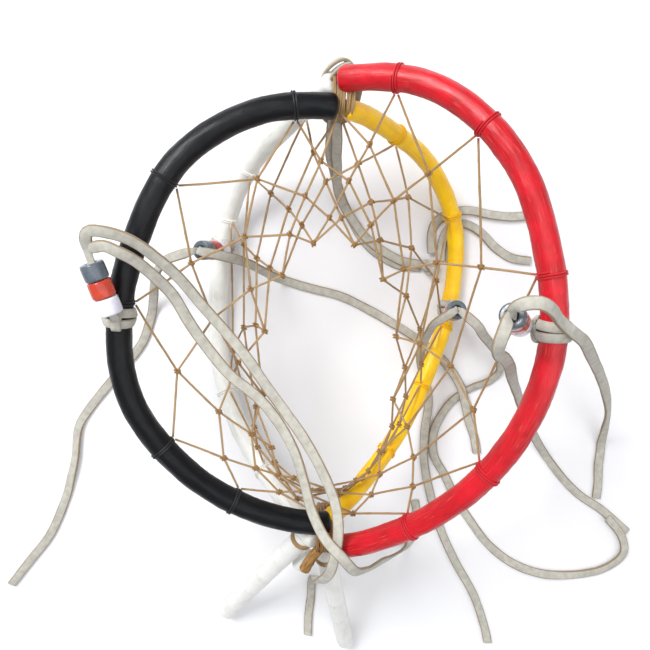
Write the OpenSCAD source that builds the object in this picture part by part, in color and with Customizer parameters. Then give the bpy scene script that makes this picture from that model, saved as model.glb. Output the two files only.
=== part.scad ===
// Globe-shaped dream catcher lying on its back.
// Four bent sticks meet at a top pole (+Y) and a bottom pole (-Y), a sinew net runs between them as an
// hourglass tunnel, and a buckskin lace with three crow beads is tied round each stick.
// Millimetres. +X is to the right, +Y is towards the top pole and +Z is up from the floor that it lies on.

/* [Sticks] */
// Thickness of the black stick, front left
black_d = 10.6; // [7:0.1:12]
// Thickness of the red stick, front right
red_d = 10.4; // [7:0.1:12]
// Thickness of the yellow stick, back right
yellow_d = 8.6; // [7:0.1:12]
// Thickness of the white stick, back left
white_d = 10; // [7:0.1:12]
// How far the black stick's plane is turned from +X towards +Z, in degrees
black_turn = 172; // [165:1:178]
// How far the red stick's plane is turned from +X towards +Z, in degrees
red_turn = 25; // [15:1:35]
// How far the yellow stick's plane is turned from +X towards +Z, in degrees
yellow_turn = -46.5; // [-52:0.5:-42]
// Size of the whole globe, against the radii listed for the sticks
globe_size = 1; // [0.8:0.05:1.25]

/* [Lashings] */
// Length of the sinew lashing on each pole, along X
lashing_w = 9; // [6:0.5:12]
// Thickness of the lashings' windings
lashing_t = 1.2; // [0.8:0.1:2]
// Room left inside a lashing above and below the sticks
lashing_room = 1.5; // [1:0.1:3]
// Gap between pieces that rest on each other
seat_gap = 0.3; // [0.1:0.05:0.5]

/* [Net] */
// Thickness of the sinew string
string_d = 1; // [0.6:0.1:1.6]
// Thickness of a knot in the net
knot_d = 2.2; // [1.6:0.1:3]
// Half the width of the net's waist
waist_w = 30; // [20:1:36]
// Half the height of the net's waist
waist_h = 56; // [45:1:60]

/* [Beads and laces] */
// Diameter of a crow bead
bead_d = 9.5; // [8:0.1:11]
// Length of a crow bead
bead_l = 7; // [5:0.1:7.5]
// Diameter of a crow bead's hole
bead_bore = 4.4; // [4:0.1:5]
// How far a stack of beads slides along its lace
bead_slide = 2.5; // [1:0.5:4]
// Width of the buckskin lace
lace_w = 4.8; // [3:0.1:5]
// Thickness of the buckskin lace
lace_t = 1.6; // [1:0.1:2]

/* [White rods] */
// Thickness of the two white rods
rod_d = 10; // [8:0.1:11]
// Thickness of the short white rod
stub_d = 7; // [6:0.1:8]

/* [Hidden] */
$fn = 48;

// Radii of each bent stick about the globe's centre, from the top pole to the bottom pole, evenly spaced.
black_radii = globe_size * [88, 90.5, 90.5, 87, 88, 91, 91, 92, 94];
yellow_radii = globe_size * [88, 89, 95.5, 98.5, 91, 83, 82, 85, 94];
outer_top = globe_size * 88 + (black_d + red_d) / 2 + seat_gap;
outer_bottom = globe_size * 94 + (black_d + red_d) / 2 + seat_gap;
red_radii = concat([outer_top], globe_size * [102, 99, 93, 91, 89.5, 90.5, 95.5], [outer_bottom]);
white_radii = concat([outer_top], globe_size * [90.5, 91.5, 91.5, 90, 95, 96.5, 96], [outer_bottom]);
// The sticks' ends stop this many degrees short of the pole.
end_stop = 2;
stick_rings = 33;
stick_sides = 12;

// Places on the sticks, in degrees above the globe's equator, where the net is hitched.
black_hitch_at = [78, 39, 4, -39, -64];
red_hitch_at = [76, 53, 17, -37, -64];
yellow_hitch_at = [65, 28, -8, -31, -58];
white_hitch_at = [75, 45, 26, -33, -62];
// Places where the laces are wrapped.
black_wrap_at = 0;
red_wrap_at = 4;
yellow_wrap_at = -2;
white_wrap_at = 16;

// The globe's centre stands so high that the yellow stick touches the floor, and the white one is turned to
// touch it too.
function stick_radius(radii, a) =
    let (at = min(max((90 - a) / 180 * 8, 0), 7.999), i = floor(at), t = at - i,
         p0 = radii[max(i - 1, 0)], p1 = radii[i], p2 = radii[i + 1], p3 = radii[min(i + 2, 8)])
    p1 + t * ((p2 - p0) + t * ((2 * p0 - 5 * p1 + 4 * p2 - p3) + t * (3 * p1 - p0 - 3 * p2 + p3))) / 2;
function reach(radii) = max([for (a = [-60 : 0.5 : 60]) stick_radius(radii, a) * cos(a)]);
centre_h = reach(yellow_radii) * sin(-yellow_turn) + yellow_d / 2;
white_turn = asin((centre_h - white_d / 2) / reach(white_radii)) - 180;
// Place of the globe's centre, so that the whole object's base is centred on the origin.
centre = [3.7, 49.4, centre_h];

function stick_point(radii, turn, a) =
    let (r = stick_radius(radii, a))
    centre + [r * cos(a) * cos(turn), r * sin(a), r * cos(a) * sin(turn)];
function unit(v) = v / norm(v);
function stick_way(radii, turn, a) =
    unit(stick_point(radii, turn, a - 0.5) - stick_point(radii, turn, a + 0.5));

// A turn and move that takes +Z to direction d at point p, with +X as near as it can be to side.
module stand(p, d, side = [0.01, 1, 0.02]) {
    z = unit(d);
    y = unit(cross(z, side));
    x = cross(y, z);
    multmatrix([[x[0], y[0], z[0], p[0]], [x[1], y[1], z[1], p[1]], [x[2], y[2], z[2], p[2]], [0, 0, 0, 1]])
        children();
}
module bar(a, b, d) {
    stand(a, b - a) cylinder(h = norm(b - a), d = d);
}
// A closed tube swept through rings of points.
module skin(rings) {
    n = len(rings);
    s = len(rings[0]);
    polyhedron(
        points = [for (r = rings) each r],
        faces = concat(
            [[for (k = [0 : s - 1]) k]],
            [for (i = [0 : n - 2]) for (k = [0 : s - 1])
                each [[i * s + k, (i + 1) * s + k, i * s + (k + 1) % s],
                      [i * s + (k + 1) % s, (i + 1) * s + k, (i + 1) * s + (k + 1) % s]]],
            [[for (k = [s - 1 : -1 : 0]) (n - 1) * s + k]]
        )
    );
}
module stick(radii, turn, d) {
    across = [-sin(turn), 0, cos(turn)];
    skin([for (i = [0 : stick_rings - 1])
        let (a = 90 - end_stop - (180 - 2 * end_stop) * i / (stick_rings - 1),
             p = stick_point(radii, turn, a),
             t = stick_way(radii, turn, a),
             out = cross(across, t))
        [for (k = [0 : stick_sides - 1])
            p + d / 2 * (cos(360 * k / stick_sides) * out + sin(360 * k / stick_sides) * across)]]);
}

// Rings of sinew round a stick where the net is hitched to it.
hitch_gap = 0.15;
module hitches(radii, turn, d, places) {
    for (a = places)
        stand(stick_point(radii, turn, a), stick_way(radii, turn, a))
            rotate_extrude() translate([d / 2 + hitch_gap + string_d / 2, 0]) circle(d = string_d, $fn = 24);
}

// A sleeve of windings round the stick ends at a pole: inside it is so high and so wide.
module rounded(h, w, r) {
    square([h - 2 * r, w], center = true);
    square([h, w - 2 * r], center = true);
    for (i = [-1, 1]) for (j = [-1, 1])
        translate([i * (h / 2 - r), j * (w / 2 - r)]) circle(r);
}
module sleeve(mid, h, w, length) {
    translate(mid) rotate([0, -90, 0]) rotate([0, 0, 90]) translate([0, 0, -length / 2])
        linear_extrude(length) difference() {
            rounded(h + 2 * lashing_t, w + 2 * lashing_t, 4 + lashing_t);
            rounded(h, w, 4);
        }
}
inner_pole = globe_size * 88;
inner_foot = globe_size * 94;
// Room inside a lashing for the sticks, which slant through it.
lashing_in_h = outer_top - inner_pole + max(red_d, white_d) / 2 + max(black_d, yellow_d) / 2
    + 2 * lashing_room;
slant = lashing_w / 2 * tan(max(-yellow_turn, -180 - white_turn));
lashing_in_w = max(yellow_d / cos(yellow_turn), white_d / -cos(white_turn)) + slant + 2 * seat_gap;
lashing_mid_z = -2.5;
lashing_mid_y = (max(red_d, white_d) - max(black_d, yellow_d)) / 4;
top_mid = (inner_pole + outer_top) / 2 + lashing_mid_y;
bottom_mid = (inner_foot + outer_bottom) / 2 + lashing_mid_y;
lashing_face = lashing_in_h / 2 + lashing_t;
module top_lashing() {
    color("#b08d57")
        sleeve(centre + [0, top_mid, lashing_mid_z],
               lashing_in_h, lashing_in_w, lashing_w);
}
module bottom_lashing() {
    color("#8a6234")
        sleeve(centre - [0, bottom_mid, -lashing_mid_z],
               lashing_in_h, lashing_in_w, lashing_w);
}

// The net: knots in rows from the front sticks through the waist to the back sticks.
columns = 12;
half_rows = 4;
rows = 2 * half_rows;
waist_mid = centre + [0, -22, -7] * globe_size;
function fold(list, top, bottom) = concat([top], list, [bottom]);
red_at = fold(red_hitch_at, 90, -90);
black_at = fold(black_hitch_at, 90, -90);
yellow_at = fold(yellow_hitch_at, 90, -90);
white_at = fold(white_hitch_at, 90, -90);
function between(list, i) = let (k = floor(i)) list[k] + (i - k) * (list[min(k + 1, 6)] - list[k]);
// A column counts from 0 at the top pole, down the right side to 6 at the bottom pole, and up the left side.
function on_right(c) = c <= 6;
function step_of(c) = on_right(c) ? c : 12 - c;
pole_gap = 1.7 * string_d;
function rim(c, front) =
    let (i = step_of(c), pole = i == 0 || i == 6,
         radii = on_right(c) ? (front ? red_radii : yellow_radii) : (front ? black_radii : white_radii),
         turn = on_right(c) ? (front ? red_turn : yellow_turn) : (front ? black_turn : white_turn),
         at = on_right(c) ? (front ? red_at : yellow_at) : (front ? black_at : white_at))
    pole ? centre + [0, i == 0 ? top_mid - lashing_face - pole_gap : lashing_face + pole_gap - bottom_mid,
                     front ? 3 : -9]
         : stick_point(radii, turn, between(at, i));
function waist(c) =
    let (a = 90 - step_of(c) * 30, wide = pow(abs(cos(a)), a > 0 ? 0.9 : 0.55))
    waist_mid + globe_size * [waist_w * wide * (on_right(c) ? 1 : -1), waist_h * sin(a), 0];
function stick_d(c, front) = on_right(c) ? (front ? red_d : yellow_d) : (front ? black_d : white_d);
function ease(s) = s * (1.25 - 0.25 * s);
// The place of a knot: odd rows lie half a column on, and the weaving drifts one column round in all.
function knot(row, c) =
    let (cc = (c + row % 2 / 2 + row / rows) % columns, front = row <= half_rows, r = rim(cc, front),
         w = waist(cc), s = ease((front ? row : rows - row) / half_rows))
    s == 0 ? r : (r + unit(w - r) * (stick_d(cc, front) / 2 + knot_d)) * (1 - s) + w * s;
// A string starts at the ring of its hitch, at the face of a lashing, or at the edge of a knot.
function from_hitch(cc, front, step) =
    let (i = step_of(cc), p = rim(cc, front), pole = i == 0 || i == 6,
         radii = on_right(cc) ? (front ? red_radii : yellow_radii) : (front ? black_radii : white_radii),
         turn = on_right(cc) ? (front ? red_turn : yellow_turn) : (front ? black_turn : white_turn),
         at = on_right(cc) ? (front ? red_at : yellow_at) : (front ? black_at : white_at),
         t = stick_way(radii, turn, between(at, i)), side = waist(cc) - p,
         on = pole ? [i == 0 ? 1 : -1, 0, 0] : t * (t[1] < 0 ? 1 : -1) * (on_right(cc) ? 1 : -1),
         start = p + 0.7 * string_d * (1 - 2 * step) * on)
    pole ? start
        : start + unit(side - (side * t) * t) * (stick_d(cc, front) / 2 + hitch_gap + string_d + 0.25);
function string_end(row, c, to, step) =
    row == 0 ? from_hitch(c, true, step)
        : row == rows ? from_hitch((c + 1) % columns, false, step)
        : knot(row, c) + unit(to - knot(row, c)) * (knot_d / 2 + 0.05);
module web_strands() {
    color("#b08d57")
        for (row = [0 : rows - 1]) for (c = [0 : columns - 1]) for (step = [0, 1])
            let (c2 = ((row % 2 == 0 ? c - step : c + step) + columns) % columns)
            bar(string_end(row, c, knot(row + 1, c2), step), string_end(row + 1, c2, knot(row, c), step),
                string_d);
}
module web_knots() {
    color("#9a6b2a")
        for (row = [1 : rows - 1]) for (c = [0 : columns - 1])
            translate(knot(row, c)) sphere(d = knot_d, $fn = 24);
}

// A lace wrapped round a stick, and its doubled stretch that carries the beads.
// Each stack stands at foot, pointing along way.
bead_gap = 0.2;
stack_l = 3 * bead_l + 2 * bead_gap;
core_d = bead_bore - 1;
core_rise = 2.4;
core_end = stack_l + bead_slide + 1.5;
black_foot = centre + [-86.3, 2.9, 23.2];
black_way = unit([-6.3, 18.9, 3]);
red_foot = centre + [70.8, 7.3, 35.1];
red_way = unit([-9.3, 7, 20]);
yellow_foot = centre + [62.3, -3.6, -56];
yellow_way = unit([-1.4, 4.8, 20]);
white_foot = centre + [-56.2, 23.9, -55.2];
white_way = unit([-7, 1, 19]);
module lace_wrap(radii, turn, d, at, foot, way) {
    p = stick_point(radii, turn, at);
    t = stick_way(radii, turn, at);
    inside = d / 2 + seat_gap;
    joint = foot - core_rise * way;
    side = joint - p;
    off = unit(side - (side * t) * t);
    stand(p, t) rotate_extrude() translate([inside, -lace_w / 2]) square([lace_t, lace_w]);
    bar(p + off * (inside + lace_t / 2), joint, core_d);
    translate(joint) sphere(d = core_d + 0.4, $fn = 32);
    bar(joint, foot + core_end * way, core_d);
}
module black_lace_wrap() color("#c9c0a8")
    lace_wrap(black_radii, black_turn, black_d, black_wrap_at, black_foot, black_way);
module red_lace_wrap() color("#c9c0a8")
    lace_wrap(red_radii, red_turn, red_d, red_wrap_at, red_foot, red_way);
module yellow_lace_wrap() color("#c9c0a8")
    lace_wrap(yellow_radii, yellow_turn, yellow_d, yellow_wrap_at, yellow_foot, yellow_way);
module white_lace_wrap() color("#c9c0a8")
    lace_wrap(white_radii, white_turn, white_d, white_wrap_at, white_foot, white_way);

// A crow bead: the first is next to the stick.
module bead(foot, way, place) {
    r = min(1.25, (bead_d - bead_bore) / 4);
    stand(foot + place * (bead_l + bead_gap) * way, way)
        rotate_extrude() {
            translate([bead_bore / 2, r]) square([(bead_d - bead_bore) / 2, bead_l - 2 * r]);
            translate([bead_bore / 2, 0]) square([(bead_d - bead_bore) / 2 - r, bead_l]);
            for (y = [r, bead_l - r]) translate([bead_d / 2 - r, y]) circle(r);
        }
}
module white_bead(foot, way) color("#dcdce8") bead(foot, way, 0);
module red_bead(foot, way) color("#d8432f") bead(foot, way, 1);
module grey_bead(foot, way) color("#5e666e") bead(foot, way, 2);

// Laces: flat strips through their own points, in millimetres from a spot on the floor under the globe's
// centre. Each strip lies with its flat side up.
floor_spot = [centre[0], centre[1], 0];
black_a_path = [
    [-97, 29, 99], [-97, 32, 102], [-92, 35, 104], [-84, 35, 104], [-76, 32, 101], [-68, 25, 95],
    [-61, 17, 89], [-54, 7, 84], [-45, -4, 81], [-36, -15, 80], [-27, -28, 79], [-18, -40, 79],
    [-9, -52, 80], [-1, -65, 82], [5, -78, 84], [7, -90, 86], [6, -102, 86], [4, -113, 82],
    [1, -122, 73], [-1, -131, 60], [-2, -140, 44], [-3, -149, 28], [-4, -158, 13], [-5, -168, 3],
    [-5, -178, 1], [-6, -190, 1], [-6, -203, 1]];
black_b_path = [
    [-92, 29, 99], [-90, 29, 101], [-87, 30, 103], [-81, 28, 103], [-75, 24, 99], [-69, 17, 93],
    [-64, 10, 88], [-58, -2, 84], [-51, -13, 81], [-42, -24, 80], [-31, -33, 79], [-22, -43, 79],
    [-14, -56, 80], [-9, -69, 82], [-5, -82, 84], [1, -93, 87], [9, -101, 89], [15, -110, 84],
    [20, -117, 72], [25, -124, 57], [31, -131, 40], [38, -138, 23], [45, -142, 9], [50, -141, 2],
    [53, -134, 1], [54, -125, 1], [52, -115, 1]];
red_a_path = [
    [64, 16, 131], [65, 19, 133], [69, 19, 133], [73, 16, 129], [79, 12, 124], [87, 7, 119], [95, 2, 109],
    [105, -7, 93], [118, -19, 72], [132, -33, 48], [144, -49, 27], [151, -65, 10], [154, -78, 1],
    [154, -89, 1], [155, -100, 1], [155, -109, 1]];
red_b_path = [
    [60, 14, 131], [59, 12, 133], [58, 8, 132], [61, 4, 126], [65, -3, 114], [71, -11, 98], [78, -21, 80],
    [86, -32, 62], [95, -45, 44], [105, -59, 26], [114, -72, 12], [124, -85, 2], [135, -98, 1],
    [146, -108, 1], [159, -116, 1], [175, -129, 1]];
yellow_a_path = [
    [63, 2, 42], [66, 0, 43], [70, -5, 42], [74, -10, 38], [80, -16, 30], [86, -22, 20], [91, -29, 10],
    [93, -37, 3], [88, -43, 1], [79, -47, 1], [70, -54, 1], [64, -63, 1], [60, -74, 1], [61, -87, 1],
    [68, -99, 1], [75, -112, 1], [84, -125, 1], [96, -140, 1], [111, -151, 1], [129, -157, 1],
    [148, -157, 1], [165, -152, 1], [174, -142, 2], [171, -130, 3], [162, -120, 3]];
yellow_b_path = [
    [58, 2, 42], [55, 0, 42], [51, -5, 38], [49, -11, 31], [48, -18, 22], [48, -26, 13], [50, -35, 5],
    [54, -46, 1], [56, -58, 1], [55, -74, 1], [56, -92, 1], [61, -112, 1], [68, -132, 1], [78, -152, 1],
    [90, -172, 1], [98, -192, 1], [101, -203, 1]];
white_a_path = [
    [-63, 25, 42], [-58, 25, 44], [-52, 23, 42], [-46, 21, 35], [-41, 18, 25], [-36, 14, 15], [-30, 10, 6],
    [-22, 7, 1], [-10, 4, 1], [4, 1, 1], [18, -5, 1], [32, -12, 1], [49, -22, 1], [63, -33, 2],
    [72, -45, 3], [76, -56, 3], [79, -66, 1], [83, -76, 1], [85, -85, 1]];
white_b_path = [
    [-66.5, 25, 42], [-71, 24, 44], [-77, 21, 42], [-83, 17, 35], [-88, 12, 25], [-92, 5, 15], [-95, -4, 6],
    [-98, -16, 1], [-103, -30, 1], [-113, -43, 1], [-124, -57, 1], [-133, -69, 1], [-139, -80, 1],
    [-141, -97, 1], [-144, -110, 1], [-148, -124, 1], [-157, -145, 1], [-170, -163, 1], [-181, -178, 1]];
hanger_path = [
    [-2, 80, 60], [-2, 76, 52], [-2, 71, 42], [-1, 66, 31], [0, 60, 20], [2, 54, 10], [5, 48, 3],
    [10, 40, 2], [16, 32, 2], [25, 25, 2], [36, 20, 2], [47, 19, 2]];
hanger_a_path = [
    [52, 26, 3], [51, 34, 2], [53, 42, 1], [60, 47, 1], [70, 49, 1], [84, 47, 1], [97, 47, 1], [114, 51, 1]];
hanger_b_path = [
    [57, 22, 3], [57, 30, 2], [60, 39, 1], [68, 42, 1], [77, 38, 1], [86, 30, 1], [95, 25, 1], [105, 24, 1]];
function strip_ring(p, t, up, w, h) =
    let (x = unit(cross(up, t)), y = cross(t, x))
    [for (q = [[1, -0.5], [1, 0.5], [0.8, 1], [-0.8, 1], [-1, 0.5], [-1, -0.5], [-0.8, -1], [0.8, -1]])
        p + x * q[0] * w / 2 + y * q[1] * h / 2];
module strip(path, w = lace_w, h = lace_t) {
    up = [0.02, 0.01, 1];
    n = len(path);
    skin([for (i = [0 : n - 1])
        let (t = unit(path[min(i + 1, n - 1)] - path[max(i - 1, 0)]))
        strip_ring(floor_spot + path[i], t, up, w, h)]);
}
module tail(path) color("#c9c6bc") strip(path);

// The hanger: a lace over the top pole's lashing, doubled down to an overhand knot with two tails.
module hanger_wrap() {
    color("#c9c6bc")
        sleeve(centre + [-(lashing_w + lace_w) / 2 - seat_gap, top_mid, -5],
               lashing_in_h + 3, lashing_in_w + 7, lace_w);
}
knot_at = [51, 19, 5];
module hanger_knot() {
    color("#c9c6bc") translate(floor_spot + knot_at) sphere(d = 9);
}

// White rods bound under the bottom pole, with their tips on the floor.
rod_left_top = centre + [-10, -108.8, -11.5] * globe_size;
rod_left_tip = [centre[0] - 53 * globe_size, centre[1] - 186 * globe_size, rod_d / 2];
rod_right_top = centre + [5, -116, -13.5] * globe_size;
rod_right_tip = [centre[0] + 16 * globe_size, centre[1] - 202 * globe_size, rod_d / 2];
module rod(top, tip, d) {
    length = norm(tip - top);
    color("#eeeeea")
        stand(top, tip - top) rotate_extrude() {
            square([d / 2, length]);
            intersection() {
                translate([0, length]) circle(d = d);
                translate([0, length - d / 4]) square([d, d]);
            }
        }
}
module white_rod_short() {
    color("#eeeeea") bar(centre + [-5, -122.4, -21.4], centre + [-12, -131.4, -26.4], stub_d);
}
module raw_stick_end() {
    color("#8a5a2b") bar(centre + [-3, -113.8, -2.5], centre + [-9, -125, -4], 4.4);
}
module rod_lashing() {
    down = unit(unit(rod_left_tip - rod_left_top) + unit(rod_right_tip - rod_right_top));
    a = rod_left_top + 5 * unit(rod_left_tip - rod_left_top);
    b = rod_right_top + 1 * unit(rod_right_tip - rod_right_top);
    gap = norm(b - a);
    color("#8a6234")
        stand((a + b) / 2 - 2 * down, down, b - a)
            linear_extrude(4) difference() {
                rounded(gap + rod_d * 1.1 + 2 + 2 * lashing_t, rod_d * 1.1 + 2 + 2 * lashing_t, 6);
                rounded(gap + rod_d * 1.1 + 2, rod_d * 1.1 + 2, 5);
            }
}

color("#141416") stick(black_radii, black_turn, black_d);  // black_half_hoop
color("#e0142d") stick(red_radii, red_turn, red_d);  // red_half_hoop
color("#ffd000") stick(yellow_radii, yellow_turn, yellow_d);  // yellow_half_hoop
color("#f2f2ee") stick(white_radii, white_turn, white_d);  // white_half_hoop
top_lashing();
bottom_lashing();
rod_lashing();
color("#141416") hitches(black_radii, black_turn, black_d, black_hitch_at);  // black_hitches
color("#e0142d") hitches(red_radii, red_turn, red_d, red_hitch_at);  // red_hitches
color("#ffd000") hitches(yellow_radii, yellow_turn, yellow_d, yellow_hitch_at);  // yellow_hitches
color("#f2f2ee") hitches(white_radii, white_turn, white_d, white_hitch_at);  // white_hitches
web_strands();
web_knots();
black_lace_wrap();
red_lace_wrap();
yellow_lace_wrap();
white_lace_wrap();
white_bead(black_foot, black_way);  // black_stack_white_bead
red_bead(black_foot, black_way);  // black_stack_red_bead
grey_bead(black_foot, black_way);  // black_stack_grey_bead
white_bead(red_foot, red_way);  // red_stack_white_bead
red_bead(red_foot, red_way);  // red_stack_red_bead
grey_bead(red_foot, red_way);  // red_stack_grey_bead
white_bead(yellow_foot, yellow_way);  // yellow_stack_white_bead
red_bead(yellow_foot, yellow_way);  // yellow_stack_red_bead
grey_bead(yellow_foot, yellow_way);  // yellow_stack_grey_bead
white_bead(white_foot, white_way);  // white_stack_white_bead
red_bead(white_foot, white_way);  // white_stack_red_bead
grey_bead(white_foot, white_way);  // white_stack_grey_bead
tail(black_a_path);  // black_lace_tail_a
tail(black_b_path);  // black_lace_tail_b
tail(red_a_path);  // red_lace_tail_a
tail(red_b_path);  // red_lace_tail_b
tail(yellow_a_path);  // yellow_lace_tail_a
tail(yellow_b_path);  // yellow_lace_tail_b
tail(white_a_path);  // white_lace_tail_a
tail(white_b_path);  // white_lace_tail_b
hanger_wrap();
color("#c9c6bc") strip(hanger_path, lace_w, 2 * lace_t);  // hanger_lace
hanger_knot();
tail(hanger_a_path);  // hanger_tail_a
tail(hanger_b_path);  // hanger_tail_b
rod(rod_left_top, rod_left_tip, rod_d);  // white_rod_left
rod(rod_right_top, rod_right_tip, rod_d);  // white_rod_right
white_rod_short();
raw_stick_end();
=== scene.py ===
# %% [markdown]
# # A globe dream catcher, lying on its back
# Four bent, painted half sticks make the globe. A sinew net hangs between them and narrows to a waist, and
# flat buckskin laces hang from it with three beads on each. The measured model of every piece is loaded first
# and never moved, and the cells below put a finished surface in each piece's place.

# %% Load the measured model
from bisect import bisect_right
from math import asin, cos, pi, radians, sin

import bmesh
import bpy
from mathutils import Matrix, Vector, noise


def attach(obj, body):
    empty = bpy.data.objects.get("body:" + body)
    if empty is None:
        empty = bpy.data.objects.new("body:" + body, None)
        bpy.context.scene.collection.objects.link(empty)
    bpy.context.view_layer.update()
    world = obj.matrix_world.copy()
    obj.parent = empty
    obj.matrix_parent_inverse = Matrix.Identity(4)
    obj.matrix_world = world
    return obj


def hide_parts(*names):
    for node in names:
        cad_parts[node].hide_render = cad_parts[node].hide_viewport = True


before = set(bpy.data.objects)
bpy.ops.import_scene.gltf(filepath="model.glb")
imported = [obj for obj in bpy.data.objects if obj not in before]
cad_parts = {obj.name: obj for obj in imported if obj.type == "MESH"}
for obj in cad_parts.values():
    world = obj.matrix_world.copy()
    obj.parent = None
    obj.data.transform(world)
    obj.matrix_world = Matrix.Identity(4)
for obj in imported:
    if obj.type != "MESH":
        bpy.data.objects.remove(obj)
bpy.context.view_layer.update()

# %% [markdown]
# ## The camera
# The camera looks almost straight down from a little over a quarter of a metre.

# %% Camera
MM = 0.001
CENTRE = Vector((3.7, 49.4, 72.2246))
camera = bpy.data.objects.new("camera", bpy.data.cameras.new("camera"))
bpy.context.collection.objects.link(camera)
camera.data.lens = 35.446
camera.data.shift_x, camera.data.shift_y = -0.00923, -0.0077
camera.data.clip_start = 0.01
turned = Matrix(((0.99912, 0.04124, -0.00727), (-0.04188, 0.98394, -0.17350), (0, 0.17365, 0.98481))).transposed()
camera.matrix_world = Matrix.Translation((CENTRE + Vector((0, 47.84, 271.31))) * MM) @ turned.to_4x4()
bpy.context.scene.camera = camera

# %% [markdown]
# ## One helper for everything that is long and thin
# Sticks, strings, windings and laces are all one outline carried along a line. A route turns a few points into
# a smooth line. A sweep starts from bmesh's circle, extrudes its edges again and again, and sets each new ring
# on the route. Each vertex also keeps where it would lie if the piece were pulled straight, so that grain and
# fibres follow the bends.

# %% A route through points
class Route:
    """A smooth line through points, in millimetres, that gives its point at any distance from its start."""

    def __init__(self, points, closed=False, fine=10):
        points = [Vector(p) for p in points]
        count, self.closed = len(points), closed
        pick = (lambda i: points[i % count]) if closed else (lambda i: points[min(max(i, 0), count - 1)])
        self.points = []
        for i in range(count if closed else count - 1):
            p0, p1, p2, p3 = (pick(i + k) for k in (-1, 0, 1, 2))
            for k in range(fine):
                t = k / fine
                self.points.append(p1 + t / 2 * ((p2 - p0) + t * ((2 * p0 - 5 * p1 + 4 * p2 - p3)
                                                                  + t * (3 * p1 - p0 - 3 * p2 + p3))))
        self.points.append(pick(count if closed else count - 1).copy())
        self.marks = [0.0]
        for a, b in zip(self.points, self.points[1:]):
            self.marks.append(self.marks[-1] + (b - a).length)
        self.length = self.marks[-1]

    def at(self, s):
        s = s % self.length if self.closed else min(max(s, 0), self.length)
        i = min(bisect_right(self.marks, s) - 1, len(self.points) - 2)
        span = self.marks[i + 1] - self.marks[i]
        return self.points[i].lerp(self.points[i + 1], (s - self.marks[i]) / span if span else 0)

    def way(self, s):
        return (self.at(s + 0.4) - self.at(s - 0.4)).normalized()


def spread(length, step):
    """Evenly spaced distances from 0 to length."""
    count = max(2, round(length / step))
    return [length * i / count for i in range(count + 1)]


def blunt(length, step, edge, radius, turns=3):
    """Distances for a piece whose ends are rounded off at their edges, and each ring's size there."""
    near = [(edge * (1 - cos(pi / 2 * k / turns)), 1 - edge / radius * (1 - sin(pi / 2 * k / turns)))
            for k in range(turns)]
    middle = [(s, 1.0) for s in spread(length - 2 * edge, step)]
    return ([(s, size) for s, size in near] + [(s + edge, size) for s, size in middle]
            + [(length - s, size) for s, size in reversed(near)])

# %% The sweep
def blank():
    """An empty mesh with the values that the finishes read."""
    bm = bmesh.new()
    for layer in ("lie", "spot"):
        bm.verts.layers.float_vector.new(layer)
    bm.verts.layers.float_color.new("tint")
    return bm


def sweep(bm, route, stations, up, width, height=None, sides=8, square=1.0, roll=None, shift=None, lumps=0.0,
          tint=None):
    """Carries an outline along a route. stations are distances, or pairs of a distance and a size."""
    lie, spot = (bm.verts.layers.float_vector[name] for name in ("lie", "spot"))
    colour = bm.verts.layers.float_color["tint"]
    height = height or width
    stations = [s if isinstance(s, tuple) else (s, 1.0) for s in stations]
    ring = bmesh.ops.create_circle(bm, segments=sides, radius=1)["verts"]
    for vert in ring:
        x, y = vert.co.x, vert.co.y
        vert[spot] = Vector([(abs(c) ** square) * (1 if c > 0 else -1) for c in (x, y)] + [0])
    first = edges = list({edge for vert in ring for edge in vert.link_edges})
    for i, (s, size) in enumerate(stations):
        if i:
            grown = bmesh.ops.extrude_edge_only(bm, edges=edges)["geom"]
            ring = {item for item in grown if isinstance(item, bmesh.types.BMVert)}
            edges = [item for item in grown if isinstance(item, bmesh.types.BMEdge)
                     and item.verts[0] in ring and item.verts[1] in ring]
        way = route.way(s)
        x_way = (up(s) if callable(up) else up).cross(way).normalized()
        y_way = way.cross(x_way)
        middle = route.at(s)
        if shift:
            dx, dy = shift(s)
            middle = middle + dx * x_way + dy * y_way
        if roll:
            turn = Matrix.Rotation(roll(s), 3, way)
            x_way, y_way = turn @ x_way, turn @ y_way
        tone = tint(s) if tint else (0, 0, 0, 0)
        for vert in ring:
            x, y = vert[spot].x * width / 2 * size, vert[spot].y * height / 2 * size
            vert[lie] = Vector((x, y, s))
            out = x * x_way + y * y_way
            if lumps:
                out *= 1 + lumps / width * (noise.noise(Vector((x, y, s * 0.35)) * 0.35)
                                            + 0.5 * noise.noise(Vector((x, y, s + 77)) * 0.9))
            vert.co = middle + out
            vert[colour] = tone
    if route.closed:
        bmesh.ops.bridge_loops(bm, edges=first + edges)
    else:
        bmesh.ops.edgeloop_fill(bm, edges=first)
        bmesh.ops.edgeloop_fill(bm, edges=edges)


def finish(bm, name, paint, stands_for, body="root", sharp=40):
    """Turns a mesh into a piece of the object, in metres, that rides on a body and replaces measured nodes."""
    bmesh.ops.recalc_face_normals(bm, faces=bm.faces)
    bmesh.ops.scale(bm, vec=(MM, MM, MM), verts=bm.verts)
    mesh = bpy.data.meshes.new(name)
    bm.to_mesh(mesh)
    bm.free()
    mesh.shade_smooth()
    mesh.set_sharp_from_angle(angle=radians(sharp))
    piece = bpy.data.objects.new(name, mesh)
    bpy.context.collection.objects.link(piece)
    mesh.materials.append(paint)
    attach(piece, body)
    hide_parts(*stands_for)
    return piece

# %% [markdown]
# ## Finishes
# Shader maths reads more easily as sums than as boxes and wires. Wire holds one output socket, and its
# operators add the Math nodes. Finish holds one material and has a single method for every other node.

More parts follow.
